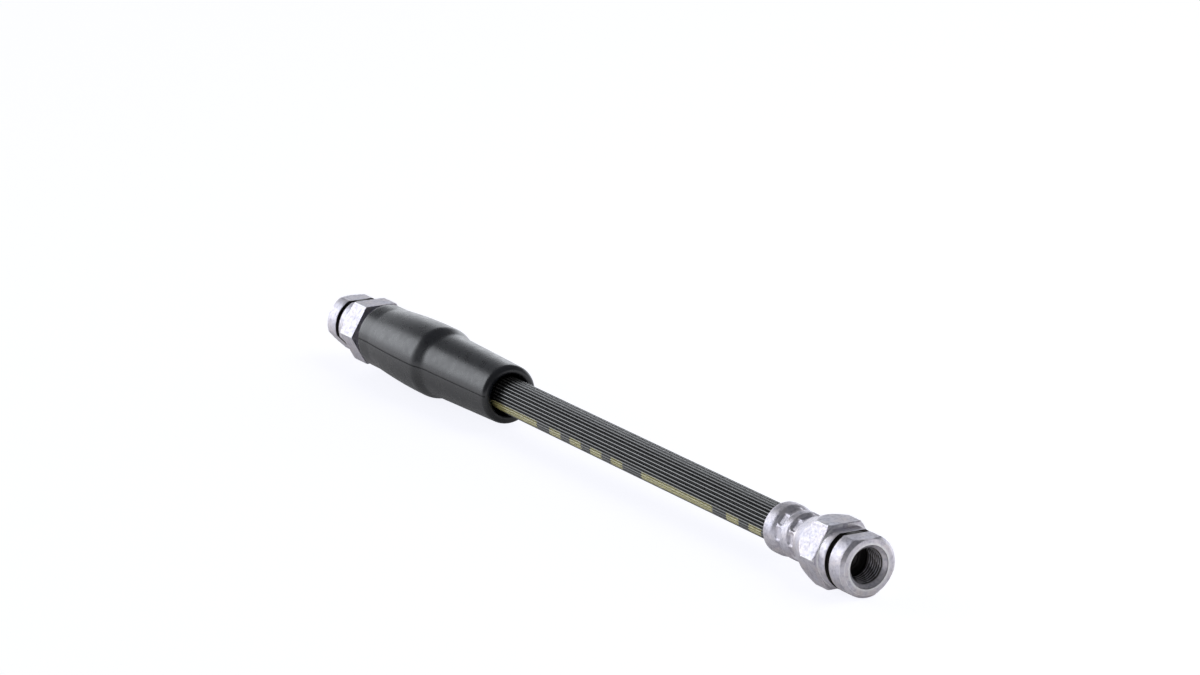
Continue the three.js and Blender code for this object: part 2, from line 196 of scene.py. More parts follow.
def between(tree, value, low, high, soft):
    """1 where the value lies from low to high, with soft edges, and 0 elsewhere."""
    rise = maths(tree, "MULTIPLY_ADD", maths(tree, "SUBTRACT", value, low), 1 / soft, 0.5, clamp=True)
    fall = maths(tree, "MULTIPLY_ADD", maths(tree, "SUBTRACT", high, value), 1 / soft, 0.5, clamp=True)
    return maths(tree, "MULTIPLY", rise, fall)


def mixed(tree, factor, first, second):
    """The first colour where the factor is 0, and the second where it is 1."""
    inputs = {0: factor, 6: first, 7: second}
    return node_in(tree, "ShaderNodeMix", inputs, data_type="RGBA").outputs[2]


def ranged(tree, value, low, high, from_low=0.0, from_high=1.0, soft=False):
    """A value that goes from from_low to from_high, turned into one from low to high."""
    inputs = {0: value, 1: from_low, 2: from_high, 3: low, 4: high}
    kind = "SMOOTHSTEP" if soft else "LINEAR"
    return node_in(tree, "ShaderNodeMapRange", inputs, interpolation_type=kind).outputs[0]


def finish_of(name, colour, roughness, metallic=0.0, specular=0.5):
    """A new material with a Principled shader; gives the material, its tree and the shader."""
    material = bpy.data.materials.new(name)
    material.use_nodes = True
    shader = material.node_tree.nodes["Principled BSDF"]
    shader.inputs["Base Color"].default_value = colour
    shader.inputs["Roughness"].default_value = roughness
    shader.inputs["Metallic"].default_value = metallic
    shader.inputs["Specular IOR Level"].default_value = specular
    return material, material.node_tree, shader


def mottle_group():
    """Soft cloudy variation from low to high, from noise on the given coordinates, most of
    which lies between 0.3 and 0.7."""
    group = bpy.data.node_groups.new("mottle", "ShaderNodeTree")
    for name, kind, value in (
        ("Vector", "NodeSocketVector", (0, 0, 0)),
        ("Scale", "NodeSocketFloat", 100),
        ("Detail", "NodeSocketFloat", 4),
        ("Low", "NodeSocketFloat", 0),
        ("High", "NodeSocketFloat", 1),
    ):
        group.interface.new_socket(name, in_out="INPUT", socket_type=kind).default_value = value
    group.interface.new_socket("Value", in_out="OUTPUT", socket_type="NodeSocketFloat")
    given = group.nodes.new("NodeGroupInput").outputs
    noise = node_in(
        group,
        "ShaderNodeTexNoise",
        {"Vector": given["Vector"], "Scale": given["Scale"], "Detail": given["Detail"]},
    )
    spread = ranged(group, noise.outputs["Fac"], given["Low"], given["High"], 0.3, 0.7)
    group.links.new(spread, group.nodes.new("NodeGroupOutput").inputs["Value"])
    return group


MOTTLE = mottle_group()


def mottled(tree, vector, scale, low, high, detail=4):
    """Places the mottle in a material, with values of its own."""
    inputs = {"Vector": vector, "Scale": scale, "Low": low, "High": high, "Detail": detail}
    return node_in(tree, "ShaderNodeGroup", inputs, node_tree=MOTTLE).outputs["Value"]


def bumped(tree, shader, height, strength, distance):
    """Gives the shader a bump, with the height of 1 standing distance metres proud."""
    inputs = {"Height": height, "Strength": strength, "Distance": distance}
    bump = node_in(tree, "ShaderNodeBump", inputs)
    tree.links.new(bump.outputs["Normal"], shader.inputs["Normal"])


def ribbed_radius(angle):
    """The outer radius: a top over 0.36 of the pitch, flat but for its rounded shoulders,
    straight flanks, and a flat groove RIB_DEPTH lower over 0.24 of it."""
    top, flank_end = 0.18, 0.38  # shares of the pitch, from the middle of a rib
    away = np.abs((angle / (2 * math.pi) * RIB_COUNT + 0.5) % 1 - 0.5)
    rounded = top * (away / top) ** 4
    flank = top + (away - top) / (flank_end - top) * (1 - top)
    return HOSE_RADIUS - RIB_DEPTH * np.clip(np.where(away < top, rounded, flank), 0, 1)


def hose_cover():
    """Rows run along the outside from the near cut end and back through the bore."""
    angles = full_turn(RIB_COUNT * RIB_SAMPLES)
    hose_end = ASSEMBLY_LENGTH - HOSE_START
    outside = np.linspace(HOSE_START, hose_end, HOSE_STATIONS)
    stations = np.concatenate([outside, outside[::-1]])[:, None]
    outer = np.broadcast_to(ribbed_radius(angles), (HOSE_STATIONS, len(angles)))
    radius = np.concatenate([outer, np.full_like(outer, COVER_BORE)])
    points = around(NEAR_FACE, TO_FAR, stations, radius, angles)
    return closed_surface("ribbed_cover", points, angles, stations[:, 0])


def cover_rubber():
    """Black rubber with glossy rib tops that are lighter than the grooves, partly as dust and
    partly as a painted sheen, and the stripe printed on three of them: its dashes and bars
    repeat along the hose, with their ends slanted by the turn."""
    material, tree, shader = finish_of("cover_rubber", COVER_COLOUR, 0.5, specular=0.15)
    wrap = node_in(tree, "ShaderNodeUVMap", uv_map="wrap").outputs["UV"]
    parts = node_in(tree, "ShaderNodeSeparateXYZ", {0: wrap}).outputs
    turn, length = parts[0], maths(tree, "MULTIPLY", parts[1], ASSEMBLY_LENGTH)
    place = node_in(tree, "ShaderNodeTexCoord").outputs["Object"]
    phase = maths(tree, "MULTIPLY_ADD", turn, RIB_COUNT, 0.5)
    away = maths(tree, "ABSOLUTE", maths(tree, "SUBTRACT", maths(tree, "FRACT", phase), 0.5))
    rib_top = ranged(tree, away, 1, 0, 0.12, 0.26)
    printed = ranged(tree, away, 1, 0.3, 0.26, 0.38)
    slant = maths(tree, "MULTIPLY_ADD", turn, STRIPE_SLANT, length)
    first = STRIPE_OFFSET - STRIPE_PERIOD + STRIPE_SLANT * (STRIPE_START + STRIPE_END) / 2
    along = maths(tree, "MODULO", maths(tree, "SUBTRACT", slant, first), STRIPE_PERIOD)
    across = between(tree, turn, STRIPE_START, STRIPE_END, 0.004)
    dash = between(tree, along, 0, STRIPE_DASH, 0.5)
    shifted = maths(tree, "SUBTRACT", along, BAR_SHIFT)
    repeat = maths(tree, "FRACT", maths(tree, "DIVIDE", shifted, BAR_PITCH))
    gap = between(tree, along, STRIPE_DASH + BARE_AFTER_DASH, STRIPE_PERIOD - BARE_BEFORE_DASH, 0.3)
    bars = maths(tree, "MULTIPLY", between(tree, repeat, 0, BAR_SHARE, 0.03), gap)
    worn = mottled(tree, place, 2600, 0.75, 1.0)
    ink = maths(tree, "MULTIPLY", maths(tree, "MAXIMUM", dash, bars), across)
    ink = maths(tree, "MULTIPLY", ink, maths(tree, "MULTIPLY", worn, printed))
    # lighter rib tops: partly dust, partly a painted sheen
    dust_and_sheen = maths(tree, "MULTIPLY", rib_top, mottled(tree, place, 2200, 0, 1.0))
    colour = mixed(tree, dust_and_sheen, COVER_COLOUR, RIB_DUST_AND_SHEEN_COLOUR)
    colour = mixed(tree, ink, colour, STRIPE_COLOUR)
    tree.links.new(colour, shader.inputs["Base Color"])
    tree.links.new(mottled(tree, place, 1500, 0.3, 0.44), shader.inputs["Roughness"])
    tree.links.new(rib_top, shader.inputs["Coat Weight"])
    shader.inputs["Coat Roughness"].default_value = 0.24
    shader.inputs["Coat IOR"].default_value = 2.0
    bumped(tree, shader, mottled(tree, place, 5200, 0, 1), 0.25, 0.00008)
    return material


cover = hose_cover()
cover.data.materials.append(cover_rubber())
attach(cover, "root")
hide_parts("hose_cover")
path_stations = np.linspace(HOSE_START, ASSEMBLY_LENGTH - HOSE_START, HOSE_PATH_POINTS)
hose_path = around(NEAR_FACE, TO_FAR, path_stations, 0, 0)
around(NEAR_FACE, TO_FAR, RIM_STATION, 0, 0)


# The layers under the cover: two braids of off-white yarn with a thin rubber layer between
# them, over the rubber tube that carries the fluid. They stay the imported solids.
YARN_COLOUR = (0.52, 0.47, 0.36, 1)
YARN_SHADE = (0.22, 0.19, 0.14, 1)
YARN_STRANDS = 12  # round the hose, each way
YARN_ADVANCE = 3400  # radians of a strand's wave per metre of hose
CUSHION_COLOUR = (0.04, 0.038, 0.035, 1)
TUBE_COLOUR = (0.02, 0.02, 0.02, 1)


def yarn():
    """Two crossing sets of slanted strands, from waves on the turn and the length."""
    material, tree, shader = finish_of("braid_yarn", YARN_COLOUR, 0.85, specular=0.2)
    place = node_in(tree, "ShaderNodeTexCoord").outputs["Object"]
    parts = node_in(tree, "ShaderNodeSeparateXYZ", {0: place}).outputs
    height = maths(tree, "SUBTRACT", parts[2], float((NEAR_FACE + FAR_FACE)[2] / 2))
    turn = maths(tree, "DIVIDE", maths(tree, "ARCTAN2", height, parts[1]), 2 * math.pi)
    length = maths(tree, "MULTIPLY", parts[0], YARN_ADVANCE)
    waves = [
        maths(tree, "SINE", maths(tree, "MULTIPLY_ADD", turn, 2 * math.pi * YARN_STRANDS * way, length))
        for way in (1, -1)
    ]
    strand = ranged(tree, maths(tree, "MAXIMUM", *waves), 0, 1, -0.2, 1)
    tree.links.new(mixed(tree, strand, YARN_SHADE, YARN_COLOUR), shader.inputs["Base Color"])
    bumped(tree, shader, strand, 0.6, 0.0002)
    return material


def plain_rubber(name, colour, roughness):
    """Smooth moulded rubber with a faint grain in its colour, gloss and surface."""
    material, tree, shader = finish_of(name, colour, roughness, specular=0.4)
    place = node_in(tree, "ShaderNodeTexCoord").outputs["Object"]
    lighter = tuple(2 * c for c in colour[:3]) + (1,)
    clouds = mottled(tree, place, 700, 0, 0.5)
    tree.links.new(mixed(tree, clouds, colour, lighter), shader.inputs["Base Color"])
    gloss = mottled(tree, place, 1200, roughness - 0.06, roughness + 0.08)
    tree.links.new(gloss, shader.inputs["Roughness"])
    bumped(tree, shader, mottled(tree, place, 5000, 0, 1), 0.2, 0.00006)
    return material


def finish_solid(name, material):
    """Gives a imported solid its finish."""
    solid = frame["nodes"][name]
    solid.data.materials.clear()
    solid.data.materials.append(material)


braid = yarn()
finish_solid("outer_braid", braid)
finish_solid("inner_braid", braid)
finish_solid("cushion_rubber", plain_rubber("cushion_rubber", CUSHION_COLOUR, 0.7))
finish_solid("inner_tube", plain_rubber("tube_rubber", TUBE_COLOUR, 0.5))


# The end fittings: each is one steel bar of hexagon section, turned to a nose with a clip
# groove, bored and threaded for the pipe's nut, plated, and crimped on the hose by ten jaws
# in two rows. The near one slopes down behind its hexagon, and the far one is cut square.
TURN_SAMPLES = 210
FITTING_EASE = 0.1
OUTSIDE_RADIUS = 5.7  # what lies further out is the outside, or the rim of the port's mouth
NOSE_RADIUS = 8.3
NOSE_CHAMFER = 0.95
NOSE_LENGTH = 5.9
GROOVE_WIDTH = 1.95
GROOVE_DEPTH = 0.9
KEY_FLAT_DISTANCE = 7.3  # of the flats milled on the nose, from the axis
HEX_APOTHEM = 8.5
HEX_CORNER = HEX_APOTHEM / math.cos(math.pi / 6)
HEX_CORNER_BREAK = 0.06
HEX_START = 11.2
HEX_CHAMFER = 0.45
HEX_EDGE = 0.12
NEAR_HEX_END = 16.6
FAR_HEX_END = 18.6
UNCUT_RADIUS = 9.92  # just past the corners of the bar, which then limits it
FAR_NECK_RADIUS = 6.8
SHELL_START = 24
MOUTH_RADIUS = 5.75
MOUTH_DEPTH = 0.3
MOUTH_CONE_DEPTH = 0.8
THREAD_CREST = 4.5
THREAD_DEPTH = 0.5
THREAD_PITCH = 1
THREAD_FADE = 0.3
THREAD_END = 7.8
RELIEF_RADIUS = 5.1
PORT_DEPTH = 9.4
SEAT_POCKET_RADIUS = 3
SEAT_POCKET_DEPTH = 1.5
SHELL_FLOOR = 19.9
SHELL_BORE = 5.16
HOSE_BORE = 1.65
VALLEY_RADIUS = 6.42
RIDGE_RADIUS = 6.6
RIM_RADIUS = 6.95
CRIMP_ROWS = ((33.1, 6.02), (27.1, 5.85))  # station, distance of the prints from the axis
CRIMP_HALF = 1.35
CRIMP_SLOPE = 0.55
JAW_COUNT = 10
PRINT_HALF = (1.25, 1.625)  # along and across
PRINT_CORNER = 0.95
PRINT_EDGE = 0.2
CORNER_TURN = 0.2  # radians between two sides of the profile that make a corner
EDGE_FROM_FLAT = 29.5  # degrees from a flat's middle; the hexagon's edge is at 30
TURNING_SCALE = (3, ASSEMBLY_LENGTH * 5, 1)  # of the lines round the axis, on the wrap
DRAWING_SCALE = (240, 40, 1)  # of the lines along the bar
STEEL_COLOUR = (0.70, 0.69, 0.77, 1)
STEEL_WARM = (0.76, 0.70, 0.70, 1)
STEEL_DULL = (0.46, 0.45, 0.52, 1)
STEEL_EDGE = (1, 1, 1, 1)
# painted shade for the bores, the thread's roots and the clip groove
PAINTED_SHADE_COLOUR = (0.07, 0.065, 0.062, 1)


def bezier(start, control, end, count):
    """Points on a quadratic curve between two corners of a profile."""
    t = np.linspace(0, 1, count)[:, None]
    start, control, end = (np.array(p, float) for p in (start, control, end))
    return (1 - t) ** 2 * start + 2 * t * (1 - t) * control + t**2 * end


NEAR_BACK = [
    [[NEAR_HEX_END, UNCUT_RADIUS]],
    bezier([23.8, 7.06], [25.4, VALLEY_RADIUS], [25.8, VALLEY_RADIUS], 6),
]
FAR_BACK = [
    [[FAR_HEX_END, UNCUT_RADIUS], [FAR_HEX_END, FAR_NECK_RADIUS]],
    [[25.2, FAR_NECK_RADIUS], [25.75, VALLEY_RADIUS]],
]


def fitting_profile(back):
    """The turned section, from the end face over the outside and back through the bores."""
    (rim_row, _), (back_row, _) = CRIMP_ROWS
    groove_end = NOSE_LENGTH + GROOVE_WIDTH
    groove_radius = NOSE_RADIUS - GROOVE_DEPTH
    nose = [
        [0, NOSE_RADIUS - NOSE_CHAMFER],
        [NOSE_CHAMFER, NOSE_RADIUS],
        [NOSE_LENGTH, NOSE_RADIUS],
        [NOSE_LENGTH, groove_radius],
        [groove_end, groove_radius],
        [groove_end, NOSE_RADIUS],
        [HEX_START, NOSE_RADIUS],
        [HEX_START, HEX_CORNER - HEX_CHAMFER],
        [HEX_START + HEX_CHAMFER, HEX_CORNER + 0.1],
    ]
    shell = [
        [back_row + CRIMP_HALF, VALLEY_RADIUS],
        [back_row + CRIMP_HALF + CRIMP_SLOPE, RIDGE_RADIUS],
        [rim_row - CRIMP_HALF - CRIMP_SLOPE, RIDGE_RADIUS],
        [rim_row - CRIMP_HALF, VALLEY_RADIUS],
        [rim_row + CRIMP_HALF, VALLEY_RADIUS],
    ]
    bell = [
        bezier([35, 6.67], [35.5, RIM_RADIUS], [36.3, RIM_RADIUS], 5),
        bezier([38.7, RIM_RADIUS], [RIM_STATION, RIM_RADIUS], [RIM_STATION, 6.05], 7),
        bezier([RIM_STATION, 5.75], [38.1, SHELL_BORE], [36.6, SHELL_BORE], 5),
    ]
    bores = [
        [SHELL_FLOOR, SHELL_BORE],
        [SHELL_FLOOR, HOSE_BORE],
        [PORT_DEPTH + SEAT_POCKET_DEPTH, HOSE_BORE],
        [PORT_DEPTH + SEAT_POCKET_DEPTH, SEAT_POCKET_RADIUS],
        [PORT_DEPTH, SEAT_POCKET_RADIUS],
        [PORT_DEPTH, RELIEF_RADIUS],
        [THREAD_END + RELIEF_RADIUS - THREAD_CREST, RELIEF_RADIUS],
        [THREAD_END, THREAD_CREST],
        [MOUTH_DEPTH + MOUTH_CONE_DEPTH + THREAD_DEPTH, THREAD_CREST],
        [MOUTH_DEPTH + MOUTH_CONE_DEPTH, THREAD_CREST + THREAD_DEPTH],
        [MOUTH_DEPTH, MOUTH_RADIUS],
        [0, MOUTH_RADIUS],
    ]
    return np.concatenate([nose, *back, shell, *bell, bores])


def fitting_step(station, radius):
    """The finest steps are along the thread, the crimped rows and the cone's slope."""
    thread = (radius < MOUTH_RADIUS) & (station > MOUTH_DEPTH) & (station < THREAD_END)
    crimped = (radius > 5.8) & (station > 25) & (station < 35.5)
    cone = (radius > 6) & (station > NEAR_HEX_END) & (station < 25)
    return np.select([thread, crimped, cone], [0.09, 0.18, 0.3], 0.8)


def hexagon_limit(station, angle):
    """The distance to the drawn bar's surface: the flats' apothem over the cosine from the
    nearest flat's middle, cut off at the corners, with a fine broken edge at its front."""
    turn = math.pi / 3
    away = (angle - math.pi / 2 + turn / 2) % turn - turn / 2
    apothem = HEX_APOTHEM - np.clip(HEX_EDGE - (station - HEX_START), 0, HEX_EDGE)
    return np.minimum(apothem / np.cos(away), HEX_CORNER - HEX_CORNER_BREAK)


def flats_limit(station, angle, flats):
    """The distance to the flats milled on the nose, and far away behind them."""
    limit = np.full(np.broadcast_shapes(station.shape, angle.shape), 99.0)
    for flat in flats:
        facing = np.maximum(np.cos(angle - math.radians(flat)), 0.01)
        limit = np.minimum(limit, KEY_FLAT_DISTANCE / facing)
    return np.where(station < HEX_START - 0.01, limit, 99.0)


def crimped(station, radius, angle, first_jaw):
    """The shell's radius after the jaws: in each round-cornered print it drops to the jaw's
    flat face, distance / cos(angle from the jaw's middle), with softened edges."""
    pitch = 2 * math.pi / JAW_COUNT
    away = (angle - math.radians(first_jaw) + pitch / 2) % pitch - pitch / 2
    for centre, distance in CRIMP_ROWS:
        face = distance / np.cos(away)
        offsets = (np.abs(station - centre), np.abs(face * np.sin(away)))
        x, y = (a - half + PRINT_CORNER for a, half in zip(offsets, PRINT_HALF))
        outside = np.hypot(np.maximum(x, 0), np.maximum(y, 0))
        edge = outside + np.minimum(np.maximum(x, y), 0) - PRINT_CORNER
        share = np.clip(0.5 - edge / PRINT_EDGE / 2, 0, 1)
        share = share * share * (3 - 2 * share)
        radius = radius + (np.minimum(radius, face) - radius) * share
    return radius


def threaded(station, radius, angle, hand):
    """The port's bore with its helical groove: a raised cosine of station over the pitch
    plus the share of the turn, fading in behind the mouth's cone. hand is 1 where the angle
    runs anticlockwise seen from the port, and -1 where it runs clockwise."""
    wave = station / THREAD_PITCH + hand * angle / (2 * math.pi)
    tooth = 0.5 - 0.5 * np.cos(2 * math.pi * wave)
    fade = np.clip((station - MOUTH_DEPTH - MOUTH_CONE_DEPTH) / THREAD_FADE, 0, 1)
    in_bore = (radius < THREAD_CREST + THREAD_DEPTH + 0.1) & (radius > THREAD_CREST - 0.15)
    in_bore &= station < THREAD_END + 0.3
    groove = np.where(in_bore, THREAD_DEPTH * tooth * fade, 0)
    return np.where(in_bore, np.maximum(radius, THREAD_CREST + groove), radius)


def near_groove(station, margin):
    """Whether a station is in the clip groove or within the margin of it."""
    return np.abs(station - NOSE_LENGTH - GROOVE_WIDTH / 2) < GROOVE_WIDTH / 2 + margin


def rubbed_edges(profile, angle, turned):
    """1 on the turned corners of the nose, neck and hexagon and along the hexagon's edges,
    where handling rubs the plating bright, and 0 elsewhere."""
    station, radius = profile[:, :1], profile[:, 1:]
    before, after = profile - np.roll(profile, 1, axis=0), np.roll(profile, -1, axis=0) - profile
    cosine = (before * after).sum(1) / np.linalg.norm(before, axis=1) / np.linalg.norm(after, axis=1)
    corner = (cosine < math.cos(CORNER_TURN))[:, None] & (station < 17)
    corner &= (radius > NOSE_RADIUS - NOSE_CHAMFER - 0.3) | (station < MOUTH_DEPTH + 0.1)
    corner &= ~near_groove(station, 0.3)
    from_flat = np.abs((angle - math.pi / 2 + math.pi / 6) % (math.pi / 3) - math.pi / 6)
    along_bar = (station > HEX_START) & (station < 25) & (radius > 6) & ~turned
    return corner & turned | along_bar & (from_flat > math.radians(EDGE_FROM_FLAT))


def fitting(name, face, along, back, flats, first_jaw):
    """Clamps the turned section to the hexagon bar and the milled flats, presses the jaws
    into it and cuts the thread, all as one radius over station and angle. Its marks say
    where it was turned, where it takes painted shade (the bores, darker in the thread's
    roots than on its crests, and the clip groove) and where its edges are rubbed bright."""
    profile = divided(eased(fitting_profile(back), FITTING_EASE), fitting_step)
    station, radius = profile[:, :1], profile[:, 1:]
    angle = full_turn(TURN_SAMPLES)
    hand = 1 if along[0] < 0 else -1
    outside = radius > OUTSIDE_RADIUS
    limit = np.minimum(hexagon_limit(station, angle), flats_limit(station, angle, flats))
    turned = (radius < limit - 0.02) | ~outside
    radius = np.where(outside, np.minimum(radius, limit), radius)
    pressed = crimped(station, radius, angle, first_jaw)
    radius = np.where((station > SHELL_START) & outside, pressed, radius)
    radius = threaded(station, radius, angle, hand)
    points = around(face, along, station, radius, angle)
    # painted shade: the clip groove, and the bores darker with depth, less on the thread's crests
    in_groove = outside & near_groove(station, 0.05) & (radius < NOSE_RADIUS - 0.04)
    crest = (station < THREAD_END) & (radius < THREAD_CREST + 0.12) & (radius > THREAD_CREST - 0.1)
    in_bore = np.clip((station - MOUTH_DEPTH - MOUTH_CONE_DEPTH) * 2, 0, np.where(crest, 0.35, 1))
    recess_shade = np.where(outside, np.where(in_groove, 1, 0), in_bore)
    marks = {"turned": turned, "recess_shade": recess_shade, "edge": rubbed_edges(profile, angle, turned)}
    return closed_surface(name, points, angle, profile[:, 0], marks)


def streaks(tree, wrap, scale):
    """Fine lines: soft noise on the wrap, stretched by a scale round and along the axis."""
    product = {0: wrap, 1: scale}
    stretched = node_in(tree, "ShaderNodeVectorMath", product, operation="MULTIPLY").outputs[0]
    return mottled(tree, stretched, 1, 0, 1, detail=2)


def plated_steel():
    """Zinc-plated steel: fine turning lines round the axis where it was turned, drawing
    lines along the hexagon, cloudy warm and dull spots of passivation, edges rubbed bright,
    and painted shade in the bores, the thread's roots and the clip groove."""
    material, tree, shader = finish_of("plated_steel", STEEL_COLOUR, 0.3, metallic=1.0)
    wrap = node_in(tree, "ShaderNodeUVMap", uv_map="wrap").outputs["UV"]
    place = node_in(tree, "ShaderNodeTexCoord").outputs["Object"]
    turned = node_in(tree, "ShaderNodeAttribute", attribute_name="turned").outputs["Fac"]
    drawn, lines = (streaks(tree, wrap, scale) for scale in (DRAWING_SCALE, TURNING_SCALE))
    grain = ranged(tree, turned, drawn, lines)
    colour = mixed(tree, mottled(tree, place, 260, 0, 0.8), STEEL_COLOUR, STEEL_WARM)
    colour = mixed(tree, mottled(tree, place, 1100, -0.5, 0.75, detail=6), colour, STEEL_DULL)
    edge = node_in(tree, "ShaderNodeAttribute", attribute_name="edge").outputs["Fac"]
    rubbed = maths(tree, "MULTIPLY", edge, mottled(tree, place, 900, 0.4, 1.3), clamp=True)
    colour = mixed(tree, rubbed, colour, STEEL_EDGE)
    recess_shade = node_in(tree, "ShaderNodeAttribute", attribute_name="recess_shade").outputs["Fac"]
    # painted shade in the bores and the clip groove
    colour = mixed(tree, recess_shade, colour, PAINTED_SHADE_COLOUR)
    tree.links.new(colour, shader.inputs["Base Color"])
    rough = maths(tree, "MULTIPLY_ADD", grain, 0.08, mottled(tree, place, 900, 0.38, 0.5))
    tree.links.new(rough, shader.inputs["Roughness"])
    relief = maths(tree, "ADD", grain, mottled(tree, place, 1300, 0, 1.6, detail=5))
    bumped(tree, shader, relief, 0.4, 0.00004)
    return material


steel = plated_steel()
near_body = fitting("near_fitting", NEAR_FACE, TO_FAR, NEAR_BACK, (90, -45), 28)
far_body = fitting("far_fitting", FAR_FACE, -TO_FAR, FAR_BACK, (90, -135), 80)
for body, node in ((near_body, "near_fitting_body"), (far_body, "far_fitting_body")):
    body.data.materials.append(steel)
    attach(body, "root")
    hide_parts(node)


# The nipples: a turned tube pushed in from each port. Its head lies flush with the port's
# floor, with a hollow cone for the pipe's flare, and its tail is in the hose, under the crimp.
NIPPLE_SAMPLES = 96
NIPPLE_EASE = 0.08
NIPPLE_STEP = 2.0
NIPPLE_FIT = 0.03  # clearance of the head and the tube in the body's bores
SEAT_CONE_RADIUS = 2.4
SEAT_CONE_DEPTH = 0.85
NIPPLE_BORE = 1.0
NIPPLE_END = 37.4
NIPPLE_TIP = 0.35  # chamfer


def nipple(name, face, along):
    """A turned section: seat cone, head, tube with a broken tip, and the bore."""
    head_back = PORT_DEPTH + SEAT_POCKET_DEPTH - NIPPLE_FIT
    head_radius = SEAT_POCKET_RADIUS - NIPPLE_FIT
    tube_radius = HOSE_BORE - NIPPLE_FIT
    profile = [
        [PORT_DEPTH, SEAT_CONE_RADIUS],
        [PORT_DEPTH, head_radius],
        [head_back, head_radius],
        [head_back, tube_radius],
        [NIPPLE_END - NIPPLE_TIP, tube_radius],
        [NIPPLE_END, tube_radius - NIPPLE_TIP],
        [NIPPLE_END, NIPPLE_BORE],
        [PORT_DEPTH + SEAT_CONE_DEPTH, NIPPLE_BORE],
    ]
    profile = divided(eased(profile, NIPPLE_EASE), lambda station, _: np.full(len(station), NIPPLE_STEP))
    angle = full_turn(NIPPLE_SAMPLES)
    points = around(face, along, profile[:, :1], profile[:, 1:], angle)
    everywhere = np.ones(points.shape[:2])
    # the whole nipple takes the painted shade of the port's depth
    marks = {"turned": everywhere, "recess_shade": everywhere}
    return closed_surface(name, points, angle, profile[:, 0], marks)


for name, face, along in (("near_seat", NEAR_FACE, TO_FAR), ("far_seat", FAR_FACE, -TO_FAR)):
    seat = nipple(name, face, along)
    seat.data.materials.append(steel)
    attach(seat, "root")
    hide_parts(name.replace("seat", "nipple"))


# The sleeve: one moulded piece of black rubber slid over the far shell, with a swelling
# grip, a step, a tapering skirt with a thick lip round the hose, and a fine parting line on
# each side where the two halves of its mould met.
SLEEVE_START = 21.5  # from the far face
SLEEVE_LENGTH = 72.9
SLEEVE_END_RADIUS = 9.3
SLEEVE_GRIP_RADIUS = 10.39
SLEEVE_STEP_RADIUS = 10.4
SHELL_BORE_RADIUS = 7.02  # of the sleeve, over the shell
MOUTH_BORE_RADIUS = 6
SLEEVE_SAMPLES = 180
PARTING_ANGLE = 176  # degrees
PARTING_DEPTH = 0.04
PARTING_WIDTH = 0.17
PARTING_RADIUS = 9  # at which the width is reckoned
SLEEVE_COLOUR = (0.012, 0.012, 0.014, 1)  # plain, without its clouds
SLEEVE_DARK = (0.005, 0.006, 0.009, 1)
SLEEVE_CLOUD = (0.011, 0.012, 0.018, 1)
PARTING_COLOUR = (0.001, 0.001, 0.001, 1)


def sleeve_profile():
    """The outside from the far end to the lip, and the bore."""
    return np.concatenate(
        [
            bezier([0, 8.8], [0, SLEEVE_END_RADIUS], [0.5, SLEEVE_END_RADIUS], 5),
            bezier([6, SLEEVE_END_RADIUS], [19.5, SLEEVE_GRIP_RADIUS], [29.9, SLEEVE_GRIP_RADIUS], 14),
            bezier([32.9, SLEEVE_STEP_RADIUS], [34, SLEEVE_STEP_RADIUS], [35.1, 10.086], 7),
            bezier([37.1, 9.514], [38.2, 9.2], [39.3, 9.175], 8),
            bezier([71.2, 8.44], [SLEEVE_LENGTH, 8.4], [SLEEVE_LENGTH, 6.8], 12),
            bezier(
                [SLEEVE_LENGTH, 6.8],
                [SLEEVE_LENGTH, MOUTH_BORE_RADIUS],
                [72.1, MOUTH_BORE_RADIUS],
                7,
            )[1:],
            [[24, MOUTH_BORE_RADIUS], [20, SHELL_BORE_RADIUS], [0, SHELL_BORE_RADIUS]],
        ]
    )


def sleeve():
    """The turned section over angles that crowd at the two parting lines, where the radius
    drops by a narrow bell curve."""
    profile = divided(sleeve_profile(), lambda station, radius: np.where(radius > 7.1, 0.8, 2.0))
    lines = np.radians([PARTING_ANGLE, PARTING_ANGLE - 180])
    near_line = np.radians(np.arange(-3.5, 3.6, 0.5))
    angle = np.concatenate([full_turn(SLEEVE_SAMPLES), *[line + near_line for line in lines]])
    angle = np.unique(np.round(angle % (2 * math.pi), 5))
    station, radius = profile[:, :1], profile[:, 1:]
    away = np.abs((angle[None, :] - lines[:, None] + math.pi) % (2 * math.pi) - math.pi).min(0)
    line = PARTING_DEPTH * np.exp(-((away * PARTING_RADIUS / PARTING_WIDTH) ** 2))
    line = np.where(radius > 7.8, line, 0)
    points = around(FAR_FACE, -TO_FAR, station + SLEEVE_START, radius - line, angle)
    marks = {"parting": line / PARTING_DEPTH}
    return closed_surface("sleeve", points, angle, profile[:, 0], marks)


def sleeve_rubber():
    """Satin black rubber with a faint mould grain, soft clouds in its colour and gloss from
    handling, and a dark dull parting line."""
    material, tree, shader = finish_of("sleeve_rubber", SLEEVE_COLOUR, 0.34, specular=0.65)
    place = node_in(tree, "ShaderNodeTexCoord").outputs["Object"]
    clouds = mottled(tree, place, 180, 0, 0.6, detail=6)
    colour = mixed(tree, clouds, SLEEVE_DARK, SLEEVE_CLOUD)
    parting = node_in(tree, "ShaderNodeAttribute", attribute_name="parting").outputs["Fac"]
    colour = mixed(tree, parting, colour, PARTING_COLOUR)
    tree.links.new(colour, shader.inputs["Base Color"])
    gloss = ranged(tree, parting, mottled(tree, place, 420, 0.24, 0.35, detail=6), 0.9)
    tree.links.new(gloss, shader.inputs["Roughness"])
    bumped(tree, shader, mottled(tree, place, 2000, 0, 1, detail=5), 0.12, 0.0001)
    return material


rubber_sleeve = sleeve()
rubber_sleeve.data.materials.append(sleeve_rubber())
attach(rubber_sleeve, "root")
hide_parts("rubber_sleeve")


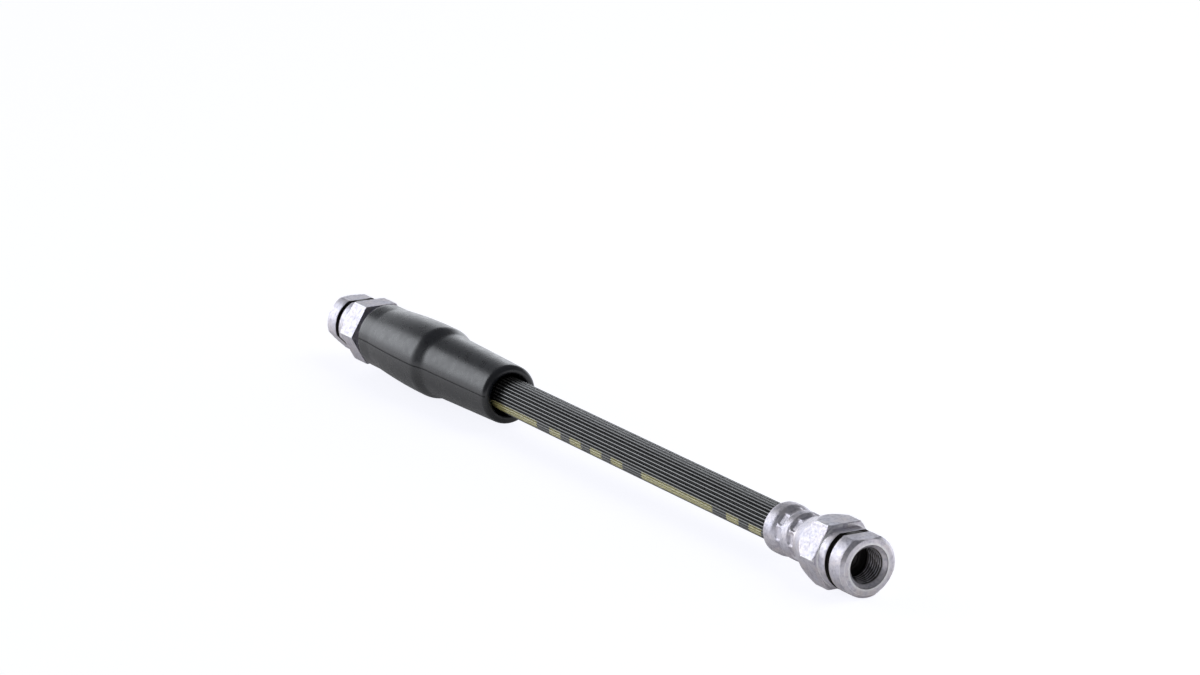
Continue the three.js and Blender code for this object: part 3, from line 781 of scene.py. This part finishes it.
# The stage: a white floor that runs back to a lit white backdrop, with a soft bright patch
# low on its left, one broad lamp overhead to the right, and a dim room in front.
FLOOR_SIZE = 6
FLOOR_COLOUR = (0.82, 0.80, 0.76, 1)
GLOW_COLOUR = (0.935, 0.942, 1, 1)
GLOW_STRENGTH = 1.3
GLOW_SHARE = 0.72  # of what the camera sees of the floor
# painted shade on the floor near the object, as reflections show it
MIRRORED_SHARE = (0.1, 0.9)  # in reflections, at the object and MIRRORED_REACH from it
MIRRORED_REACH = 0.08
LAMP_SIZE = 0.9
LAMP_POWER = 5
LAMP_COLOUR = (0.97, 0.98, 1)
LAMP_DISTANCE = 1.2
TO_LAMP = (0.25, 0.5, 0.83)
ROOM_LIGHT = 0.2
BACKDROP_LIGHT = 2.0
PATCH_LIGHT = 3.0
SURROUND_COLOUR = (0.92, 0.95, 1, 1)
WHITE = (1, 1, 1, 1)
TO_BACKDROP = (-0.863, 0.506, 0)
TO_PATCH = tuple(Vector((-0.83, -0.47, 0.29)).normalized())


def stage_white():
    """Pale floor that reads as white to the camera and still takes the object's shadow, as a
    share of plain white over the lit floor; in reflections the white begins a little off the
    object, by the distance from its axis or its ends, which paints shade round the object."""
    material, tree, shader = finish_of("stage_white", FLOOR_COLOUR, 0.9, specular=0.1)
    rays = node_in(tree, "ShaderNodeLightPath").outputs
    place = node_in(tree, "ShaderNodeTexCoord").outputs["Object"]
    aside = node_in(tree, "ShaderNodeVectorMath", {0: place}, operation="ABSOLUTE").outputs[0]
    ends = {0: aside, 1: (ASSEMBLY_LENGTH * MM / 2, 0, 0)}
    past = node_in(tree, "ShaderNodeVectorMath", ends, operation="SUBTRACT").outputs[0]
    beside = {0: past, 1: (0, 0, 0)}
    past = node_in(tree, "ShaderNodeVectorMath", beside, operation="MAXIMUM").outputs[0]
    off = node_in(tree, "ShaderNodeVectorMath", {0: past}, operation="LENGTH").outputs["Value"]
    mirrored = maths(tree, "MAXIMUM", rays["Is Glossy Ray"], rays["Is Transmission Ray"])
    # painted shade: in reflections the floor's white is weaker near the object
    rising = ranged(tree, off, *MIRRORED_SHARE, 0, MIRRORED_REACH)
    reflected = maths(tree, "MULTIPLY", mirrored, rising)
    seen = maths(tree, "MULTIPLY", rays["Is Camera Ray"], GLOW_SHARE)
    share = maths(tree, "MAXIMUM", seen, reflected)
    glow = node_in(tree, "ShaderNodeEmission", {"Color": GLOW_COLOUR, "Strength": GLOW_STRENGTH})
    both = node_in(tree, "ShaderNodeMixShader", {0: share, 1: shader.outputs[0], 2: glow.outputs[0]})
    tree.links.new(both.outputs[0], tree.nodes["Material Output"].inputs["Surface"])
    return material


floor_mesh = bpy.data.meshes.new("floor")
reach = FLOOR_SIZE / 2
floor_corners = [(-reach, -reach, 0), (reach, -reach, 0), (reach, reach, 0), (-reach, reach, 0)]
floor_mesh.from_pydata(floor_corners, [], [(0, 1, 2, 3)])
floor = bpy.data.objects.new("floor", floor_mesh)
bpy.context.scene.collection.objects.link(floor)
floor.data.materials.append(stage_white())

lamp_data = bpy.data.lights.new("top_softbox", "AREA")
lamp_data.size = LAMP_SIZE
lamp_data.energy = LAMP_POWER
lamp_data.color = LAMP_COLOUR
lamp = bpy.data.objects.new("top_softbox", lamp_data)
lamp.location = Vector(TO_LAMP).normalized() * LAMP_DISTANCE
lamp.visible_glossy = False
lamp.rotation_euler = lamp.location.to_track_quat("Z", "Y").to_euler()
bpy.context.scene.collection.objects.link(lamp)


def facing(tree, towards, direction):
    """The cosine of the angle between two directions."""
    product = {0: towards, 1: direction}
    return node_in(tree, "ShaderNodeVectorMath", product, operation="DOT_PRODUCT").outputs["Value"]


def surround(tree):
    """Light that comes from a direction: a lit backdrop behind the object that fades out
    from 12 to 29 degrees up, a bright patch with soft edges, and a dim room elsewhere."""
    towards = node_in(tree, "ShaderNodeTexCoord").outputs["Generated"]
    height = node_in(tree, "ShaderNodeSeparateXYZ", {0: towards}).outputs[2]
    behind = ranged(tree, facing(tree, towards, TO_BACKDROP), 0, 1, -0.1, 0.5)
    backdrop = maths(tree, "MULTIPLY", ranged(tree, height, 1, 0, 0.2, 0.48), behind)
    patch = ranged(tree, facing(tree, towards, TO_PATCH), 0, PATCH_LIGHT, 0.91, 0.99, soft=True)
    return maths(tree, "MAXIMUM", ranged(tree, backdrop, ROOM_LIGHT, BACKDROP_LIGHT), patch)


world = bpy.data.worlds.new("studio")
bpy.context.scene.world = world
world.use_nodes = True
sky = world.node_tree
camera_ray = node_in(sky, "ShaderNodeLightPath").outputs["Is Camera Ray"]
cool = mixed(sky, camera_ray, SURROUND_COLOUR, WHITE)
sky.links.new(cool, sky.nodes["Background"].inputs["Color"])
strength = node_in(sky, "ShaderNodeMix", {0: camera_ray, 2: surround(sky), 3: 1.0}, data_type="FLOAT")
sky.links.new(strength.outputs[0], sky.nodes["Background"].inputs["Strength"])

bpy.context.scene.view_settings.view_transform = "Standard"
